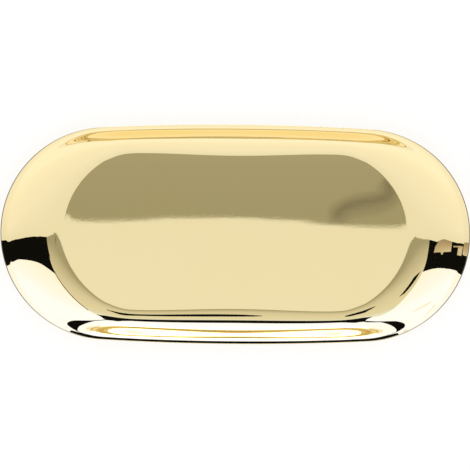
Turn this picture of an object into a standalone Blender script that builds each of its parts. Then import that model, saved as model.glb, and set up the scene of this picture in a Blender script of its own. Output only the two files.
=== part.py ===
"""Oval tray, pressed from one sheet of stainless steel and finished in polished gold colour.

The sheet has a flat floor and one wall that runs all the way round. Seen from above, the rim
is an oval of four arcs: two round ends and two long sides that bow out very slightly. The
floor is a stadium drawn in at its waist. Between them the wall is an S: a wide fillet rises
from the floor, steepens into a flank, then rolls outward into a lip that ends in a rounded
edge. The lip is alike all round. The reach of the fillet changes: short along the sides,
shortest at the four shoulders, and long at the ends, where it makes a gentle ramp under a
flank that leans in more.

Axes: +X along the tray, +Y across it, +Z up. The origin is under the middle of the floor, on
the plane that the tray stands on. Lengths are in metres.
"""

import math

import bmesh
import bpy

# The whole tray
LENGTH = 0.180
WIDTH = 0.0847
HEIGHT = 0.0090
SHEET = 0.0008

# Rim, seen from above: the end arcs follow from the length, the width and this radius
SIDE_RADIUS = 0.971

# Run of the wall, seen from above, from the edge of the floor to the rim
END_RUN = 0.0235
SHOULDER_RUN = 0.0108
WAIST_RUN = 0.0124
SHOULDER_EASE = 0.0008

# Section of the wall. The flank stands this far inside the rim at the shoulders, and leans in
# by this share of the rest of the run elsewhere.
FLANK_INSET = 0.0029
FLANK_LEAN_SHARE = 0.36
LIP_REACH = 0.0030
LIP_ANGLE = math.radians(20.0)

# Where the shoulder lies, as a share of the rim from an end's middle to a side's middle, and the
# power by which the ramp falls off toward it
SHOULDER_PLACE_SHARE = 0.603
RAMP_POWER = 2.35

# How finely the tray is drawn
END_STATIONS = 22
SIDE_STATIONS = 12
WALL_STEPS = 13
EDGE_STEPS = 4

# The finish: yellow gold colour, polished like a mirror
GOLD_COLOUR = (0.95, 0.80, 0.46, 1.0)
GOLD_ROUGHNESS = 0.08


def clear_objects():
    """Take away whatever the file opened with."""
    for item in list(bpy.data.objects):
        bpy.data.objects.remove(item, do_unlink=True)


def polished_gold():
    """Stainless steel under a thin gold-coloured coat, polished."""
    material = bpy.data.materials.new("gold_finish_stainless_steel")
    material.use_nodes = True
    shader = material.node_tree.nodes["Principled BSDF"]
    shader.inputs["Base Color"].default_value = GOLD_COLOUR
    shader.inputs["Metallic"].default_value = 1.0
    shader.inputs["Roughness"].default_value = GOLD_ROUGHNESS
    material.diffuse_color = GOLD_COLOUR
    return material


def rim_arcs():
    """Centre line of the rounded edge in one quarter: end arc, then side arc, tangent to it."""
    edge_radius = SHEET / 2
    half_length = LENGTH / 2 - edge_radius
    half_width = WIDTH / 2 - edge_radius
    side_radius = SIDE_RADIUS - edge_radius
    end_radius = (2 * side_radius * half_width - half_length**2 - half_width**2) / (
        2 * (side_radius - half_length)
    )
    end_centre = half_length - end_radius
    side_centre = half_width - side_radius
    join_angle = math.atan2(-side_centre, end_centre)
    return end_radius, end_centre, side_radius, side_centre, join_angle


def quarter_stations():
    """Stations round one quarter of the rim, from the end's middle to the side's middle.

    Each is a point on the rim, its outward direction and its share of the quarter's length.
    """
    end_radius, end_centre, side_radius, side_centre, join_angle = rim_arcs()
    side_angle = math.pi / 2 - join_angle
    end_length = end_radius * join_angle
    side_length = side_radius * side_angle
    stations = []
    for step in range(END_STATIONS):
        angle = join_angle * step / END_STATIONS
        outward = (math.cos(angle), math.sin(angle))
        point = (end_centre + end_radius * outward[0], end_radius * outward[1])
        along = end_radius * angle
        stations.append((point, outward, along / (end_length + side_length)))
    for step in range(SIDE_STATIONS + 1):
        angle = join_angle + side_angle * step / SIDE_STATIONS
        outward = (math.cos(angle), math.sin(angle))
        point = (side_radius * outward[0], side_centre + side_radius * outward[1])
        along = end_length + side_radius * (angle - join_angle)
        stations.append((point, outward, along / (end_length + side_length)))
    return stations


def all_stations():
    """The quarter's stations mirrored into a full turn, anticlockwise from the +X end."""
    quarter = quarter_stations()
    back = quarter[::-1]
    turn = []
    for sign_x, sign_y, arc in ((1, 1, quarter), (-1, 1, back), (-1, -1, quarter), (1, -1, back)):
        for (x, y), (out_x, out_y), share in arc[:-1]:
            turn.append(((sign_x * x, sign_y * y), (sign_x * out_x, sign_y * out_y), share))
    return turn


def wall_run(share):
    """Run of the wall at a share of the quarter: the end's ramp, eased into the side's wall."""
    toward_shoulder = share / SHOULDER_PLACE_SHARE
    ramp = SHOULDER_RUN + (END_RUN - SHOULDER_RUN) * (1 - toward_shoulder**RAMP_POWER)
    past_shoulder = max(0.0, (share - SHOULDER_PLACE_SHARE) / (1 - SHOULDER_PLACE_SHARE))
    side = SHOULDER_RUN + (WAIST_RUN - SHOULDER_RUN) * math.sin(math.pi / 2 * past_shoulder) ** 2
    easing = math.log1p(math.exp(-abs(ramp - side) / SHOULDER_EASE))
    return max(ramp, side) + SHOULDER_EASE * easing


def wall_section(run):
    """Section of the wall's middle sheet as points and upward normals, from floor to edge.

    It is one Bezier curve. Two of its four points lie level with the floor, the inner one at
    the edge of the floor and the outer one under the flank. The last two give the lip.
    """
    rise = HEIGHT - SHEET
    flank_inset = FLANK_INSET + FLANK_LEAN_SHARE * (run - SHOULDER_RUN)
    corners = (
        (run, 0.0),
        (flank_inset, 0.0),
        (LIP_REACH * math.cos(LIP_ANGLE), rise - LIP_REACH * math.sin(LIP_ANGLE)),
        (0.0, rise),
    )
    section = []
    for step in range(WALL_STEPS + 1):
        t = step / WALL_STEPS
        s = 1 - t
        weights = (s**3, 3 * s**2 * t, 3 * s * t**2, t**3)
        slopes = (s**2, 2 * s * t, t**2)
        inset = sum(weight * corner[0] for weight, corner in zip(weights, corners))
        height = sum(weight * corner[1] for weight, corner in zip(weights, corners))
        outward = sum(slope * (a[0] - b[0]) for slope, a, b in zip(slopes, corners, corners[1:]))
        upward = sum(slope * (b[1] - a[1]) for slope, a, b in zip(slopes, corners, corners[1:]))
        size = math.hypot(outward, upward)
        section.append((inset, height + SHEET / 2, upward / size, outward / size))
    return section


def sheet_outline(run):
    """Closed outline of the sheet in section: upper face, rounded edge, then lower face.

    Each point is an inset from the rim's centre line and a height above the ground.
    """
    half = SHEET / 2
    section = wall_section(run)
    upper = [(inset + half * inward, height + half * up) for inset, height, inward, up in section]
    lower = [(inset - half * inward, height - half * up) for inset, height, inward, up in section]
    inset, height, inward, up = section[-1]
    edge = []
    for step in range(1, EDGE_STEPS):
        turn = math.pi * step / EDGE_STEPS
        sideways = half * math.cos(turn)
        beyond = half * math.sin(turn)
        edge.append((inset + sideways * inward - beyond * up, height + sideways * up + beyond * inward))
    return upper + edge + lower[::-1]


def press_tray():
    """Loft the sheet's outline round the stations and close it with the two floor faces."""
    mesh = bpy.data.meshes.new("tray")
    body = bmesh.new()
    rings = []
    for (x, y), (out_x, out_y), share in all_stations():
        outline = sheet_outline(wall_run(share))
        rings.append([body.verts.new((x - inset * out_x, y - inset * out_y, height)) for inset, height in outline])
    for ring, following in zip(rings, rings[1:] + rings[:1]):
        for step in range(len(ring) - 1):
            body.faces.new((ring[step], ring[step + 1], following[step + 1], following[step]))
    body.faces.new([ring[0] for ring in rings])
    body.faces.new([ring[-1] for ring in reversed(rings)])
    bmesh.ops.recalc_face_normals(body, faces=body.faces)
    for face in body.faces:
        face.smooth = True
    body.to_mesh(mesh)
    body.free()
    return mesh


def make_tray():
    """The tray as one object, standing on the ground plane."""
    mesh = press_tray()
    mesh.materials.append(polished_gold())
    tray = bpy.data.objects.new("tray", mesh)
    bpy.context.scene.collection.objects.link(tray)
    return tray


def main():
    clear_objects()
    make_tray()


main()
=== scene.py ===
"""Looks of the oval tray: pressed stainless steel with a mirror-polished, gold-coloured finish.

The tray is drawn again as one smooth sheet at the sizes of its solid, with a slightly steeper
flank and a cut edge. Almost all that the eye sees in it is a reflection, so the studio round it
is laid out with care: plain pale and dark cards hang far above the tray, and their images in the
floor and in the curved wall are the light and dark shapes that run round the real one.
"""

import math

import bmesh
import bpy
from mathutils import Matrix, Vector


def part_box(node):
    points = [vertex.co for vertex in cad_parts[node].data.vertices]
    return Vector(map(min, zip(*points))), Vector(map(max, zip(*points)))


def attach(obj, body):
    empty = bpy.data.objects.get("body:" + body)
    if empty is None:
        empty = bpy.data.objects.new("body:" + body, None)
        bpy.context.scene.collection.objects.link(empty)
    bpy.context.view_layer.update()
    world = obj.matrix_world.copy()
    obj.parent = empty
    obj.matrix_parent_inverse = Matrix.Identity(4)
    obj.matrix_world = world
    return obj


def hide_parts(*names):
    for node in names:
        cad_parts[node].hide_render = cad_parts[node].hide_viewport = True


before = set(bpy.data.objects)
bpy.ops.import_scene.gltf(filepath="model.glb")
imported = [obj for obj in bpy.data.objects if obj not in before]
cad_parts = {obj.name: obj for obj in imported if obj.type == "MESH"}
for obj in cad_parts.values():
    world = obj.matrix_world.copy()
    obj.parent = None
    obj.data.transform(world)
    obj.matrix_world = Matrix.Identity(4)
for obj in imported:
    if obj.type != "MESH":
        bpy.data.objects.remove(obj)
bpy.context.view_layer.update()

# The tray's overall sizes come from its solid. Lengths are in metres unless a name says otherwise.
TRAY_LOW, TRAY_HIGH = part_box("tray")
LENGTH = TRAY_HIGH.x - TRAY_LOW.x
WIDTH = TRAY_HIGH.y - TRAY_LOW.y
HEIGHT = TRAY_HIGH.z - TRAY_LOW.z
SHEET = 0.0008

# Rim, seen from above: the end arcs follow from the length, the width and this radius
SIDE_RADIUS = 0.971

# Run of the wall, seen from above, from the edge of the floor to the rim
END_RUN = 0.0235
SHOULDER_RUN = 0.0108
WAIST_RUN = 0.0124
SHOULDER_EASE = 0.0008

# Where the shoulder lies, as a share of the rim from an end's middle to a side's middle, and the
# power by which the end's ramp falls off toward it
SHOULDER_PLACE_SHARE = 0.603
RAMP_POWER = 2.35

# Section of the wall. The flank stands this far inside the rim at the shoulders, and leans in by
# this share of the rest of the run elsewhere. The section's curve meets the rim along a line of
# this length and slope.
FLANK_INSET = 0.00262
FLANK_LEAN_SHARE = 0.382
LIP_REACH = 0.0030
LIP_ANGLE = math.radians(20.0)

# The lip's last stretch: where it has rolled down to the first angle it bends quickly, then ever
# more slowly, to the second, and ends in an upright cut with small polished corners. The drop
# keeps the lip's top inside the solid's height.
ROLL_ANGLE = math.radians(36.0)
END_ANGLE = math.radians(26.5)
LIP_EASE = 7
LIP_END_INSET = -0.00015
CORNER_RADIUS = 0.00015
TOP_DROP = 0.00016

# The last stretch's start is sought by halving between these shares of the section's curve
ROLL_SEARCH_SHARES = (0.6, 1.0)
ROLL_SEARCH_HALVINGS = 40

# Painted shade and roughness of the cut edge: this much where it faces along the tray, held to 1,
# and none where it faces across, so it is full round the ends and fades along the sides. Its grey
# is a painted dark reflection of the tray's shadow on the board.
END_EDGE_SHADE_AND_DULLING = 1.3

# How finely the tray is drawn. The wall's steps crowd toward the floor by this power, and the
# floor's rings are shares of its outline.
END_STATIONS = 64
SIDE_STATIONS = 44
WALL_STEPS = 96
WALL_CROWDING = 1.5
LIP_STEPS = 28
CORNER_STEPS = 6
FLOOR_RING_SHARES = (0.99, 0.9, 0.7, 0.5, 0.3, 0.1)

# The gold-coloured coat: its two shades, the size of their patches, and the painted grey of the cut
# edge, a painted dark reflection of the tray's shadow on the board
COAT_SHADES = ("#F9E8B8", "#F9E6B2")
COAT_PATCH = 0.035
PAINTED_EDGE_SHADE = "#7A7466"

# Relief of the sheet: grain and depth of its orange peel, spacing and depth of its waves, which
# change only this share as fast along the tray as across it
PEEL_GRAIN = 0.0005
PEEL_DEPTH = 5.0e-7
WAVE_SPACING = 0.004
WAVE_DEPTH = 1.0e-6
WAVE_ALONG_SHARE = 0.12

# Roughness of the polish where it is clean, handled and worn, and the size of the handled patches
CLEAN_ROUGHNESS = 0.005
HANDLED_ROUGHNESS = 0.02
WORN_ROUGHNESS = 0.3
HAZE_PATCH = 0.02

# The board that the tray stands on: half its side, its paint, the glow that lifts it, and the
# grain, depth and strength of the tooth that the roller left
BOARD_HALF = 3.0
BOARD_SHADE = "#A0A0A0"
BOARD_ROUGHNESS = 0.9
BOARD_LIFT = 0.68
TOOTH_GRAIN = 0.002
TOOTH_DEPTH = 2.0e-5
TOOTH_STRENGTH = 0.2

# Camera: 0.9 m from the rim's middle, nearly overhead, leaning a little to the far side. The
# pixel is where the tray's middle lies in the photograph.
CAMERA_DISTANCE = 0.9
CAMERA_TILT = math.radians(7.0)
CAMERA_ROLL = math.radians(0.45)
CAMERA_FAR_LIMIT = 100.0
LENS_MM = 180.0
SENSOR_MM = 36.0
PICTURE_PIXELS = 470
TRAY_CENTRE_PIXEL = (235.254, 235.12)


def linear(hex_colour):
    """An sRGB hex colour as linear RGBA."""
    channels = [int(hex_colour[place : place + 2], 16) / 255 for place in (1, 3, 5)]
    return [c / 12.92 if c <= 0.04045 else ((c + 0.055) / 1.055) ** 2.4 for c in channels] + [1.0]


def add_node(tree, kind, inputs=(), **settings):
    """A node with its settings; each input is a value or the socket that feeds it."""
    made = tree.nodes.new(kind)
    for name, value in settings.items():
        setattr(made, name, value)
    for socket, value in dict(inputs).items():
        if isinstance(value, bpy.types.NodeSocket):
            tree.links.new(value, made.inputs[socket])
        else:
            made.inputs[socket].default_value = value
    return made


def new_material(name):
    """An empty material and its node tree."""
    material = bpy.data.materials.new(name)
    material.use_nodes = True
    material.node_tree.nodes.clear()
    return material, material.node_tree


def coat_colour(tree, place, edge_shade_and_dulling):
    """Yellow of the coat, which is a few micrometres thick, painted grey at the cut edge as a dark
    reflection.
    """
    # Its thickness varies over a few centimetres, which warms and cools its yellow a little
    patches = add_node(
        tree, "ShaderNodeTexNoise", {"Vector": place, "Scale": 1 / COAT_PATCH, "Detail": 2.0}
    )
    shades = [linear(shade) for shade in COAT_SHADES]
    tint = add_node(
        tree,
        "ShaderNodeMix",
        {"Factor": patches.outputs["Fac"], "A": shades[0], "B": shades[1]},
        data_type="RGBA",
    )
    # The cut edge is painted grey: a painted dark reflection of the tray's shadow on the board
    painted_edge_tint = add_node(
        tree,
        "ShaderNodeMix",
        {"Factor": edge_shade_and_dulling, "A": tint.outputs["Result"], "B": linear(PAINTED_EDGE_SHADE)},
        data_type="RGBA",
    )
    return painted_edge_tint.outputs["Result"]


def handled_roughness(tree, place, edge_shade_and_dulling):
    """Roughness of a mirror, dulled by handling in soft patches some 20 mm wide and where worn."""
    haze = add_node(tree, "ShaderNodeTexNoise", {"Vector": place, "Scale": 1 / HAZE_PATCH, "Detail": 3.0})
    roughness = add_node(
        tree,
        "ShaderNodeMapRange",
        {"Value": haze.outputs["Fac"], "To Min": CLEAN_ROUGHNESS, "To Max": HANDLED_ROUGHNESS},
    )
    worn_roughness = add_node(
        tree,
        "ShaderNodeMix",
        {"Factor": edge_shade_and_dulling, "A": roughness.outputs["Result"], "B": WORN_ROUGHNESS},
    )
    return worn_roughness.outputs["Result"]


def buffed_relief(tree, place):
    """Relief that rolling and buffing leave in the sheet, as the normal it gives."""
    # Buffing leaves a grain like orange peel, which softens the edges of reflections. The real
    # grain is finer than a pixel, so it is drawn coarser, about 0.5 mm across.
    peel = add_node(tree, "ShaderNodeTexNoise", {"Vector": place, "Scale": 1 / PEEL_GRAIN, "Detail": 1.0})
    peel_bump = add_node(
        tree,
        "ShaderNodeBump",
        {"Height": peel.outputs["Fac"], "Strength": 1.0, "Distance": PEEL_DEPTH},
    )
    # The rolled sheet keeps faint waves that run along the tray, some 4 mm apart
    stretch = add_node(
        tree, "ShaderNodeMapping", {"Vector": place, "Scale": (WAVE_ALONG_SHARE, 1.0, 1.0)}
    )
    waves = add_node(
        tree,
        "ShaderNodeTexNoise",
        {"Vector": stretch.outputs["Vector"], "Scale": 1 / WAVE_SPACING, "Detail": 1.0},
    )
    wave_bump = add_node(
        tree,
        "ShaderNodeBump",
        {
            "Height": waves.outputs["Fac"],
            "Strength": 1.0,
            "Distance": WAVE_DEPTH,
            "Normal": peel_bump.outputs["Normal"],
        },
    )
    return wave_bump.outputs["Normal"]


def gold_coated_polished_steel():
    """Cold-rolled stainless steel, pressed, buffed to a mirror and coated in titanium nitride.

    The eye sees sharp reflections in pale gold, deeper with each bounce in the curve of the wall,
    and a thin, dull, greyish line round the ends: the cut edge is rougher and painted grey, a
    painted dark reflection of the tray's shadow on the board.
    """
    material, tree = new_material("gold_coated_polished_steel")
    place = add_node(tree, "ShaderNodeTexCoord").outputs["Object"]
    # Mask of the cut edge, which is painted grey as a dark reflection and made rougher
    edge_shade_and_dulling = add_node(tree, "ShaderNodeAttribute", attribute_name="edge_shade_and_roughness").outputs["Fac"]
    shader = add_node(
        tree,
        "ShaderNodeBsdfPrincipled",
        {
            "Base Color": coat_colour(tree, place, edge_shade_and_dulling),
            "Metallic": 1.0,
            "Roughness": handled_roughness(tree, place, edge_shade_and_dulling),
            "Normal": buffed_relief(tree, place),
        },
    )
    add_node(tree, "ShaderNodeOutputMaterial", {"Surface": shader.outputs["BSDF"]})
    return material


def matt_white_board():
    """Painted board: matt, with the faint tooth of a roller.

    The paint itself is grey, and a glow lifts it to white where the eye, a mirror or glass sees it.
    """
    material, tree = new_material("matt_white_board")
    place = add_node(tree, "ShaderNodeTexCoord").outputs["Object"]
    tooth = add_node(
        tree, "ShaderNodeTexNoise", {"Vector": place, "Scale": 1 / TOOTH_GRAIN, "Detail": 2.0}
    )
    bump = add_node(
        tree,
        "ShaderNodeBump",
        {"Height": tooth.outputs["Fac"], "Strength": TOOTH_STRENGTH, "Distance": TOOTH_DEPTH},
    )
    paint = add_node(
        tree,
        "ShaderNodeBsdfPrincipled",
        {
            "Base Color": linear(BOARD_SHADE),
            "Roughness": BOARD_ROUGHNESS,
            "Specular IOR Level": 0.0,
            "Normal": bump.outputs["Normal"],
        },
    )
    ray = add_node(tree, "ShaderNodeLightPath")
    seen = add_node(
        tree,
        "ShaderNodeMath",
        {0: ray.outputs["Is Camera Ray"], 1: ray.outputs["Is Glossy Ray"]},
        operation="MAXIMUM",
    )
    seen_through = add_node(
        tree,
        "ShaderNodeMath",
        {0: seen.outputs["Value"], 1: ray.outputs["Is Transmission Ray"]},
        operation="MAXIMUM",
    )
    lift = add_node(
        tree,
        "ShaderNodeMath",
        {0: seen_through.outputs["Value"], 1: BOARD_LIFT},
        operation="MULTIPLY",
    )
    glow = add_node(tree, "ShaderNodeEmission", {"Strength": lift.outputs["Value"]})
    both = add_node(tree, "ShaderNodeAddShader", {0: paint.outputs["BSDF"], 1: glow.outputs["Emission"]})
    add_node(tree, "ShaderNodeOutputMaterial", {"Surface": both.outputs["Shader"]})
    return material


def rim_arcs():
    """Centre line of the rim in one quarter: end arc, then side arc, tangent to it."""
    half_length = (LENGTH - SHEET) / 2
    half_width = (WIDTH - SHEET) / 2
    side_radius = SIDE_RADIUS - SHEET / 2
    end_radius = (2 * side_radius * half_width - half_length**2 - half_width**2) / (
        2 * (side_radius - half_length)
    )
    end_centre = half_length - end_radius
    side_centre = half_width - side_radius
    join_angle = math.atan2(-side_centre, end_centre)
    return end_radius, end_centre, side_radius, side_centre, join_angle


def quarter_stations():
    """Points, outward directions and shares of the way from the end's middle to the side's."""
    end_radius, end_centre, side_radius, side_centre, join_angle = rim_arcs()
    side_angle = math.pi / 2 - join_angle
    end_length = end_radius * join_angle
    whole = end_length + side_radius * side_angle
    stations = []
    for step in range(END_STATIONS):
        angle = join_angle * step / END_STATIONS
        outward = Vector((math.cos(angle), math.sin(angle)))
        point = Vector((end_centre, 0.0)) + end_radius * outward
        stations.append((point, outward, end_radius * angle / whole))
    for step in range(SIDE_STATIONS + 1):
        turn = side_angle * step / SIDE_STATIONS
        outward = Vector((math.cos(join_angle + turn), math.sin(join_angle + turn)))
        point = Vector((0.0, side_centre)) + side_radius * outward
        stations.append((point, outward, (end_length + side_radius * turn) / whole))
    return stations


def all_stations():
    """The quarter's stations mirrored into a full turn, anticlockwise from the +X end."""
    quarter = quarter_stations()
    back = quarter[::-1]
    turn = []
    for flip, arc in (((1, 1), quarter), ((-1, 1), back), ((-1, -1), quarter), ((1, -1), back)):
        for point, outward, share in arc[:-1]:
            turn.append((point * Vector(flip), outward * Vector(flip), share))
    return turn


def wall_run(share):
    """Run of the wall at a share of the quarter: the end's ramp, eased into the side's wall."""
    ramp = SHOULDER_RUN + (END_RUN - SHOULDER_RUN) * (1 - (share / SHOULDER_PLACE_SHARE) ** RAMP_POWER)
    past_shoulder = max(0.0, (share - SHOULDER_PLACE_SHARE) / (1 - SHOULDER_PLACE_SHARE))
    side = SHOULDER_RUN + (WAIST_RUN - SHOULDER_RUN) * math.sin(math.pi / 2 * past_shoulder) ** 2
    return max(ramp, side) + SHOULDER_EASE * math.log1p(math.exp(-abs(ramp - side) / SHOULDER_EASE))


def bezier_place(corners, share):
    """A place on a cubic Bezier curve and its direction there."""
    rest = 1 - share
    place = rest**3 * corners[0] + 3 * rest**2 * share * corners[1]
    place += 3 * rest * share**2 * corners[2] + share**3 * corners[3]
    way = rest**2 * (corners[1] - corners[0])
    way += 2 * rest * share * (corners[2] - corners[1])
    way += share**2 * (corners[3] - corners[2])
    return place, way.normalized()


def roll_end(corners):
    """Share of the curve at which the lip has rolled down to the roll angle."""
    low, high = ROLL_SEARCH_SHARES
    for _ in range(ROLL_SEARCH_HALVINGS):
        middle = (low + high) / 2
        way = bezier_place(corners, middle)[1]
        if math.atan2(way.y, -way.x) > ROLL_ANGLE:
            low = middle
        else:
            high = middle
    return high


def lip_angle(share):
    """Slope of the lip at a share of its last stretch."""
    return END_ANGLE + (ROLL_ANGLE - END_ANGLE) * (1 - share) ** LIP_EASE


def wall_section(run):
    """Section of the sheet's middle as insets from the rim and heights, with upward normals."""
    rise = HEIGHT - SHEET - TOP_DROP
    corners = (
        Vector((run, 0.0)),
        Vector((FLANK_INSET + FLANK_LEAN_SHARE * (run - SHOULDER_RUN), 0.0)),
        Vector((LIP_REACH * math.cos(LIP_ANGLE), rise - LIP_REACH * math.sin(LIP_ANGLE))),
        Vector((0.0, rise)),
    )
    section = []
    last = roll_end(corners)
    for step in range(WALL_STEPS + 1):
        place, way = bezier_place(corners, last * (step / WALL_STEPS) ** WALL_CROWDING)
        section.append((place + Vector((0.0, SHEET / 2)), Vector((way.y, -way.x))))
    inset, height = section[-1][0]
    stride = (inset - LIP_END_INSET) / LIP_STEPS
    for step in range(LIP_STEPS):
        inset -= stride
        height += stride * math.tan(lip_angle((step + 0.5) / LIP_STEPS))
        angle = lip_angle((step + 1) / LIP_STEPS)
        section.append((Vector((inset, height)), Vector((math.sin(angle), math.cos(angle)))))
    return section


def cut_edge(upper_end, lower_end):
    """The upright cut at the lip's end, from its upper round corner to its lower one."""
    cut = -SHEET / 2
    sine, cosine = math.sin(END_ANGLE), math.cos(END_ANGLE)
    top = upper_end.y + (upper_end.x - cut) * sine / cosine
    bottom = lower_end.y + (lower_end.x - cut) * sine / cosine
    top_centre = Vector((cut + CORNER_RADIUS, top - CORNER_RADIUS * (1 + sine) / cosine))
    bottom_centre = Vector((cut + CORNER_RADIUS, bottom + CORNER_RADIUS * (1 - sine) / cosine))
    edge = []
    for step in range(CORNER_STEPS + 1):
        angle = END_ANGLE - (math.pi / 2 + END_ANGLE) * step / CORNER_STEPS
        edge.append(top_centre + CORNER_RADIUS * Vector((math.sin(angle), math.cos(angle))))
    for step in range(CORNER_STEPS):
        angle = (math.pi / 2 - END_ANGLE) * step / CORNER_STEPS
        edge.append(bottom_centre - CORNER_RADIUS * Vector((math.cos(angle), math.sin(angle))))
    return edge


def sheet_outline(run):
    """Outline of the sheet in section: upper face, cut edge, then lower face."""
    half = SHEET / 2
    section = wall_section(run)
    upper = [place + half * normal for place, normal in section]
    lower = [place - half * normal for place, normal in section]
    return upper + cut_edge(upper[-1], lower[-1]) + lower[::-1]


def close_floor(body, ring, upward):
    """Fill a ring of floor corners with flat rings and a middle face."""
    for share in FLOOR_RING_SHARES:
        inner = [body.verts.new((corner.co.x * share, corner.co.y * share, corner.co.z)) for corner in ring]
        for a, b, c, d in zip(ring, ring[1:] + ring[:1], inner[1:] + inner[:1], inner):
            body.faces.new((a, b, c, d) if upward else (d, c, b, a))
        ring = inner
    body.faces.new(ring if upward else ring[::-1])


def press_tray():
    """Loft the sheet's outline round the rim, note the painted shade and roughness of its cut edge and
    close the floor.
    """
    body = bmesh.new()
    edge_shade_and_dulling = body.verts.layers.float.new("edge_shade_and_roughness")
    edge_start = WALL_STEPS + 1 + LIP_STEPS
    edge_end = edge_start + 2 * CORNER_STEPS + 1
    rings = []
    for point, outward, share in all_stations():
        outline = sheet_outline(wall_run(share))
        ring = [body.verts.new((*(point - place.x * outward), place.y)) for place in outline]
        # The cut edge gets its painted grey shade and its roughness, full at the ends
        for corner in ring[edge_start:edge_end]:
            corner[edge_shade_and_dulling] = min(1.0, END_EDGE_SHADE_AND_DULLING * abs(outward.x))
        rings.append(ring)
    for ring, following in zip(rings, rings[1:] + rings[:1]):
        for step in range(len(ring) - 1):
            body.faces.new((ring[step], ring[step + 1], following[step + 1], following[step]))
    close_floor(body, [ring[0] for ring in rings], True)
    close_floor(body, [ring[-1] for ring in rings], False)
    bmesh.ops.recalc_face_normals(body, faces=body.faces)
    mesh = bpy.data.meshes.new("oval_tray")
    body.to_mesh(mesh)
    body.free()
    mesh.shade_smooth()
    return mesh


def make_tray():
    """The tray as one smooth sheet, in place of its solid."""
    mesh = press_tray()
    mesh.materials.append(gold_coated_polished_steel())
    tray = bpy.data.objects.new("oval_tray", mesh)
    bpy.context.scene.collection.objects.link(tray)
    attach(tray, "root")
    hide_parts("tray")


def rectangle(low, high):
    """Corners of a rectangle between two opposite ones."""
    return [low, (high[0], low[1]), high, (low[0], high[1])]


def flat_card(name, corners, material):
    """A flat stage card through the given corners."""
    mesh = bpy.data.meshes.new(name)
    mesh.from_pydata(corners, [], [range(len(corners))])
    mesh.materials.append(material)
    card = bpy.data.objects.new(name, mesh)
    bpy.context.scene.collection.objects.link(card)
    return card


def make_board():
    """The pale floor that the tray stands on."""
    corners = rectangle((-BOARD_HALF, -BOARD_HALF), (BOARD_HALF, BOARD_HALF))
    flat_card("board", [(x, y, 0) for x, y in corners], matt_white_board())


# The cards hang this high, far enough to look alike from every part of the tray. Their corners
# are given as slopes: metres across for each metre of height. The largest reach this far along
# the tray and across it.
CARD_HEIGHT = 12.0
CARD_GAP = 0.02
REACH_ALONG, REACH_ACROSS = 10, 12

# Layers of cards: a higher number hangs lower, in front of the others
WINDOW_LAYER = 1
DIMMER_LAYER = 2
GREY_LAYER = 3
STREAK_LAYER = 3.1
STREAK_LAYER_STEP = 0.1
DARK_LAYER = 4
PATCH_LAYER = 5
PALE_LAYER = 6

# How brightly the cards glow, where 1 gives a shade as it is written
PALE_GLOW = 1.13
WINDOW_GLOW = 2.05
GREY_GLOW = 1.1
PLAIN_GLOW = 1.0
LOW_LIGHT_GLOW = 3.7

# Where the window begins, behind the other cards, and where the pale card ends and they begin.
# The image of this divide crosses the tray's floor, which is pale on its near side and olive on
# its far side.
WINDOW_EDGE = -0.7
DIVIDE = (
    (-REACH_ALONG, -0.6), (-2.4, -0.136), (-2.07, -0.115), (-1.7, -0.112), (-1.4, -0.108),
    (-0.96, -0.114), (-0.85, -0.114), (-0.75, -0.103), (-0.57, -0.081), (-0.47, -0.090),
    (-0.38, -0.096), (-0.3, -0.101), (-0.2, -0.105), (-0.12, -0.111), (-0.085, -0.113),
    (-0.078, -0.1135), (-0.0770, -0.1142), (-0.0758, -0.1156), (-0.0740, -0.1164),
    (-0.0700, -0.1169), (-0.0592, -0.1167), (-0.040, -0.1159), (-0.0316, -0.1150),
    (-0.015, -0.1148), (0.0, -0.1147), (0.0126, -0.1150), (0.0292, -0.1158), (0.0403, -0.1173),
    (0.0513, -0.1179), (0.0624, -0.1183), (0.0755, -0.1185), (0.0775, -0.1178), (0.085, -0.1155),
    (0.12, -0.1115), (0.2, -0.104), (0.24, -0.101), (0.38, -0.0995), (0.8, -0.0985), (1.4, -0.096),
    (1.7, -0.102), (2.07, -0.102), (2.33, -0.088), (REACH_ALONG, -0.5),
)


def shaded_colour(tree, shades):
    """Colour of a card shaded along +Y: its shades are slopes with the colour there."""
    low, high = shades[0][0], shades[-1][0]
    place = add_node(tree, "ShaderNodeTexCoord").outputs["Object"]
    split = add_node(tree, "ShaderNodeSeparateXYZ", {"Vector": place})
    along = add_node(
        tree,
        "ShaderNodeMapRange",
        {
            "Value": split.outputs["Y"],
            "From Min": low * CARD_HEIGHT,
            "From Max": high * CARD_HEIGHT,
        },
    )
    ramp = add_node(tree, "ShaderNodeValToRGB", {"Fac": along.outputs["Result"]})
    # New stops start halfway and are then moved to their places
    stops = ramp.color_ramp.elements
    while len(stops) < len(shades):
        stops.new(0.5)
    for stop, (slope, colour) in zip(stops, shades):
        stop.position = (slope - low) / (high - low)
        stop.color = linear(colour)
    return ramp.outputs["Color"]


def card_material(name, strength, shades):
    """A glowing card, shaded along +Y where it has more shades than one."""
    material, tree = new_material(name)
    colour = shaded_colour(tree, shades) if len(shades) > 1 else linear(shades[0][1])
    glow = add_node(tree, "ShaderNodeEmission", {"Color": colour, "Strength": strength})
    add_node(tree, "ShaderNodeOutputMaterial", {"Surface": glow.outputs["Emission"]})
    return material


def show_only_in_reflections(card):
    """Leave a card out of the picture and of the light on the board."""
    for rays in ("camera", "diffuse", "transmission", "volume_scatter", "shadow"):
        setattr(card, "visible_" + rays, False)


def hang_card(name, layer, slopes, material):
    """A card over the tray, with its corners given as slopes."""
    height = CARD_HEIGHT - layer * CARD_GAP
    card = flat_card(name, [(x * height, y * height, height) for x, y in slopes], material)
    show_only_in_reflections(card)


def stand_card(name, distance, outline, material):
    """An upright card on the far side; its outline is bearings and elevations in degrees."""
    corners = []
    for turn, rise in outline:
        across = distance / math.tan(math.radians(turn))
        corners.append((across, distance, math.hypot(across, distance) * math.tan(math.radians(rise))))
    card = flat_card(name, corners, material)
    show_only_in_reflections(card)


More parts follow.
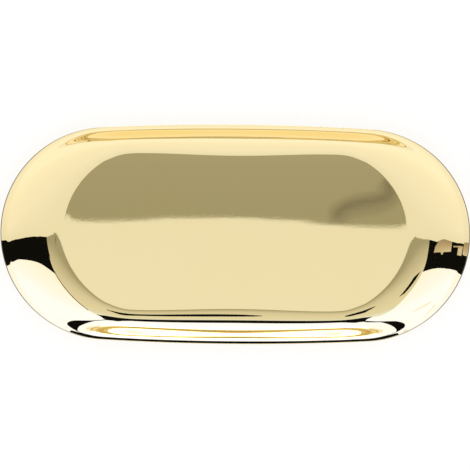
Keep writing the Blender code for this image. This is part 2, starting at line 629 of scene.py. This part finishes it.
def make_pale_card():
    """Pale side of the studio, behind the near rim."""
    shades = (
        (-2.4, "#FCFDFF"), (-1.2, "#F6F5F3"), (-0.84, "#F3F3F3"), (-0.45, "#F1F1F2"),
        (-0.27, "#ECEDEE"), (-0.10, "#E6E7E5"),
    )
    outline = [(-REACH_ALONG, -REACH_ACROSS), (REACH_ALONG, -REACH_ACROSS), *reversed(DIVIDE)]
    hang_card("pale_card", PALE_LAYER, outline, card_material("pale_card", PALE_GLOW, shades))


def make_white_card():
    """Large soft daylight window over the far side, cool in colour."""
    shades = (
        (0.08, "#C0C3D3"), (0.15, "#C2C5D7"), (0.25, "#C2C8E1"), (0.4, "#C2C8E5"),
        (0.57, "#C2CAEA"), (0.72, "#C2CCF3"), (0.9, "#C3CDF7"), (1.7, "#C3CDF8"),
        (2.4, "#C4CEF9"), (3.5, "#C3CDF1"),
    )
    outline = rectangle((-REACH_ALONG, WINDOW_EDGE), (REACH_ALONG, REACH_ACROSS))
    hang_card("white_card", WINDOW_LAYER, outline, card_material("white_card", WINDOW_GLOW, shades))


def make_dimmer_card():
    """A greyer patch of the window, which keeps the tray's floor from washing out from a corner."""
    shades = ((1.38, "#C3CDF8"), (1.44, "#BEC0CD"), (1.60, "#BEC0CD"), (1.66, "#C3CDF8"))
    outline = ((-1.85, 1.52), (-1.7, 1.38), (-1.34, 1.38), (-1.2, 1.52), (-1.34, 1.66), (-1.7, 1.66))
    hang_card("dimmer_card", DIMMER_LAYER, outline, card_material("dimmer_card", WINDOW_GLOW, shades))


def make_grey_strip():
    """Grey strip over the middle, darkest at the divide, whose image fills the far floor."""
    shades = (
        (-0.12, "#9F9E8C"), (-0.09, "#A4A293"), (-0.05, "#BCBAAD"), (0.00, "#C9C7BC"),
        (0.05, "#D2D1C7"), (0.12, "#D7D6CD"), (0.30, "#DEDCD1"), (0.50, "#DEE0DA"),
        (0.60, "#E0E4E7"), (0.72, "#EDF2FF"),
    )
    outline = (
        (-0.375, -0.2), (0.262, -0.2), (0.285, 0.08), (0.305, 0.33), (0.32, 0.6), (0.325, 0.85),
        (-0.40, 0.85), (-0.43, 0.6), (-0.40, 0.33), (-0.39, 0.08),
    )
    hang_card("grey_strip", GREY_LAYER, outline, card_material("grey_strip", GREY_GLOW, shades))


def make_strip_edge():
    """Brown-grey edge down the right side of the grey strip."""
    outline = (
        (0.26, 0.05), (0.272, 0.05), (0.304, 0.3), (0.329, 0.6), (0.318, 0.6), (0.288, 0.3),
    )
    brown = card_material("strip_edge", PLAIN_GLOW, ((0, "#5C564A"),))
    hang_card("strip_edge", DARK_LAYER, outline, brown)


# A soft darker streak on the grey strip: nested ribbons round this line, each a little narrower
# and darker, the wider ones a little toward the divide
STREAK_LINE = (
    (0.0703, -0.0975), (0.0708, -0.1001), (0.0711, -0.1020), (0.0702, -0.1038), (0.0677, -0.1050),
    (0.0640, -0.1060), (0.0599, -0.1067), (0.0558, -0.1074), (0.0517, -0.1088), (0.0489, -0.1105),
    (0.0467, -0.1126),
)
STREAK_HALF_WIDTH = 0.0056
STREAK_SHIFT = Vector((0.0, -0.0014))
STREAK_SHADES = (
    "#9A9888", "#979586", "#959384", "#929082", "#8F8D7F", "#8B897B", "#868477", "#807E72",
)


def make_streak():
    """The soft streak as a stack of ribbons, drawn round its line."""
    line = [Vector(corner) for corner in STREAK_LINE]
    ways = [(b - a).normalized() for a, b in zip(line[:1] + line, line[1:] + line[-1:])]
    for place, shade in enumerate(STREAK_SHADES):
        share = 1 - place / len(STREAK_SHADES)
        half = STREAK_HALF_WIDTH * share
        middle = [corner + STREAK_SHIFT * share for corner in line]
        sides = [Vector((-way.y, way.x)) * half for way in ways]
        left = [corner + side for corner, side in zip(middle, sides)]
        right = [corner - side for corner, side in zip(middle, sides)]
        ends = middle[0] - ways[0] * half, middle[-1] + ways[-1] * half
        outline = [ends[0], *left, ends[1], *reversed(right)]
        name = "soft_streak_" + str(place + 1)
        layer = STREAK_LAYER + place * STREAK_LAYER_STEP
        hang_card(name, layer, outline, card_material(name, GREY_GLOW, ((0, shade),)))


# Plain dark panels overhead: their layer and outline
DARK_PANELS = {
    "dark_band": (DARK_LAYER, (
        (-0.31, 0.77), (-0.1, 0.70), (0.1, 0.70), (0.31, 0.78), (0.31, 1.2), (0.30, 1.55),
        (0.25, 1.6), (0.12, 1.3), (0.0, 1.14), (-0.10, 1.22), (-0.23, 1.45), (-0.31, 1.6),
        (-0.30, 1.3),
    )),
    "dark_bar_right": (DARK_LAYER, (
        (0.216, -0.2), (6, -0.5), (6, 1.15), (2.25, 0.43), (2.1, 0.385), (1.8, 0.315), (1.5, 0.265),
        (1.0, 0.187), (0.5, 0.10), (0.27, 0.076), (0.262, 0.03), (0.25, -0.005), (0.238, -0.02),
        (0.228, -0.03), (0.221, -0.06),
    )),
    "dark_bar_left": (DARK_LAYER, (
        (-0.346, -0.2), (-6, -0.5), (-6, 1.45), (-2.08, 0.526), (-1.5, 0.383), (-0.9, 0.225),
        (-0.394, 0.10), (-0.382, 0.04), (-0.372, 0.01), (-0.358, -0.03), (-0.351, -0.07),
    )),
    "dark_mark_far_left": (PATCH_LAYER, (
        (-0.338, 0.07), (-0.268, 0.075), (-0.274, 0.15), (-0.284, 0.24), (-0.322, 0.235),
        (-0.326, 0.16),
    )),
}

# A small dark panel hangs near the tray, so that its image shifts from place to place: its height
# and its outline, in metres
NEAR_PANEL_HEIGHT = 0.9
NEAR_PANEL = (
    (-0.076, 0.145), (-0.068, 0.122), (-0.05, 0.115), (-0.02, 0.122), (0.01, 0.142), (0.028, 0.18),
    (0.03, 0.218), (0.02, 0.255), (0.0, 0.275), (-0.03, 0.275), (-0.06, 0.255), (-0.076, 0.225),
)

# Upright dark panels on the far side, a little nearer than the light between them: their outlines
# are bearings and elevations in degrees
DARK_STAND_DISTANCE = 11.5
DARK_STANDS = {
    "dark_stand_left": (
        (119, 8), (110.8, 8), (110.3, 15), (109.7, 20), (109, 25), (103, 30), (100, 38),
        (103.5, 38), (108, 30), (112, 25), (115.5, 20), (117, 15),
    ),
    "dark_stand_right": (
        (72.5, 8), (65, 9), (64.5, 12), (65.5, 15), (67.5, 18), (69.5, 20.5), (71.5, 23),
        (73, 25), (76, 31), (79, 38), (81, 38), (78, 31), (74.7, 25), (73.8, 20), (73.3, 15),
    ),
}
LOW_LIGHT_DISTANCE = 12.0
LOW_LIGHT = rectangle((82, 0), (98, 19))

# Tan patches on the left dark bar, paler toward the far side
TAN_SHADES = ((-0.12, "#A29381"), (-0.03, "#C4B6A0"), (0.03, "#D7D1C5"))
TAN_PATCHES = {
    "tan_patch": (
        (-0.62, -0.2), (-0.62, -0.08), (-0.53, -0.045), (-0.52, -0.005), (-0.65, 0.01), (-0.78, 0.022),
        (-0.83, 0.055), (-0.88, 0.055), (-0.92, 0.03), (-1.1, 0.045), (-1.42, 0.06), (-1.44, -0.2),
    ),
    "far_tan_patch": (
        (-2.14, -0.06), (-2.14, 0.165), (-2.3, 0.18), (-6, 0.5), (-6, -0.2),
    ),
    "tan_sliver": ((-1.6, -0.04), (-1.6, -0.015), (-2.2, -0.022), (-2.2, -0.05)),
}


def make_dark_cards():
    """Dark panels overhead, near the tray and upright on the far side, in one material."""
    dark = card_material("dark_card", PLAIN_GLOW, ((0, "#0F1011"),))
    for name, (layer, outline) in DARK_PANELS.items():
        hang_card(name, layer, outline, dark)
    near = flat_card("near_dark_panel", [(x, y, NEAR_PANEL_HEIGHT) for x, y in NEAR_PANEL], dark)
    show_only_in_reflections(near)
    for name, outline in DARK_STANDS.items():
        stand_card(name, DARK_STAND_DISTANCE, outline, dark)


def make_tan_cards():
    """Tan patches in front of the left dark bar."""
    tan = card_material("tan_card", PLAIN_GLOW, TAN_SHADES)
    for name, outline in TAN_PATCHES.items():
        hang_card(name, PATCH_LAYER, outline, tan)


def make_low_light():
    """Bright upright panel low on the far side, between the dark ones."""
    white = card_material("low_light", LOW_LIGHT_GLOW, ((0, "#FFFFFF"),))
    stand_card("low_light", LOW_LIGHT_DISTANCE, LOW_LIGHT, white)


def make_cards():
    """Pale and dark cards whose reflections shade the tray."""
    make_pale_card()
    make_white_card()
    make_dimmer_card()
    make_grey_strip()
    make_strip_edge()
    make_streak()
    make_dark_cards()
    make_tan_cards()
    make_low_light()


def light_studio():
    """Even white world all round, at the level where a colour shows as it is written."""
    world = bpy.data.worlds.new("white_room")
    world.use_nodes = True
    tree = world.node_tree
    tree.nodes.clear()
    background = add_node(tree, "ShaderNodeBackground", {"Color": linear("#FFFFFF"), "Strength": 1.0})
    add_node(tree, "ShaderNodeOutputWorld", {"Surface": background.outputs["Background"]})
    bpy.context.scene.world = world


def make_camera():
    """Long lens nearly overhead; the image's up is +Y."""
    data = bpy.data.cameras.new("camera")
    data.lens = LENS_MM
    data.sensor_width = SENSOR_MM
    data.clip_end = CAMERA_FAR_LIMIT
    data.shift_x = (PICTURE_PIXELS / 2 - TRAY_CENTRE_PIXEL[0]) / PICTURE_PIXELS
    data.shift_y = (TRAY_CENTRE_PIXEL[1] - PICTURE_PIXELS / 2) / PICTURE_PIXELS
    camera = bpy.data.objects.new("camera", data)
    bpy.context.scene.collection.objects.link(camera)
    back = Vector((0.0, math.sin(CAMERA_TILT), math.cos(CAMERA_TILT)))
    turn = Matrix.Rotation(-CAMERA_TILT, 4, "X") @ Matrix.Rotation(CAMERA_ROLL, 4, "Z")
    camera.matrix_world = Matrix.Translation(Vector((0, 0, HEIGHT)) + CAMERA_DISTANCE * back) @ turn
    bpy.context.scene.camera = camera


bpy.context.scene.view_settings.view_transform = "Standard"
make_tray()
make_board()
make_cards()
light_studio()
make_camera()
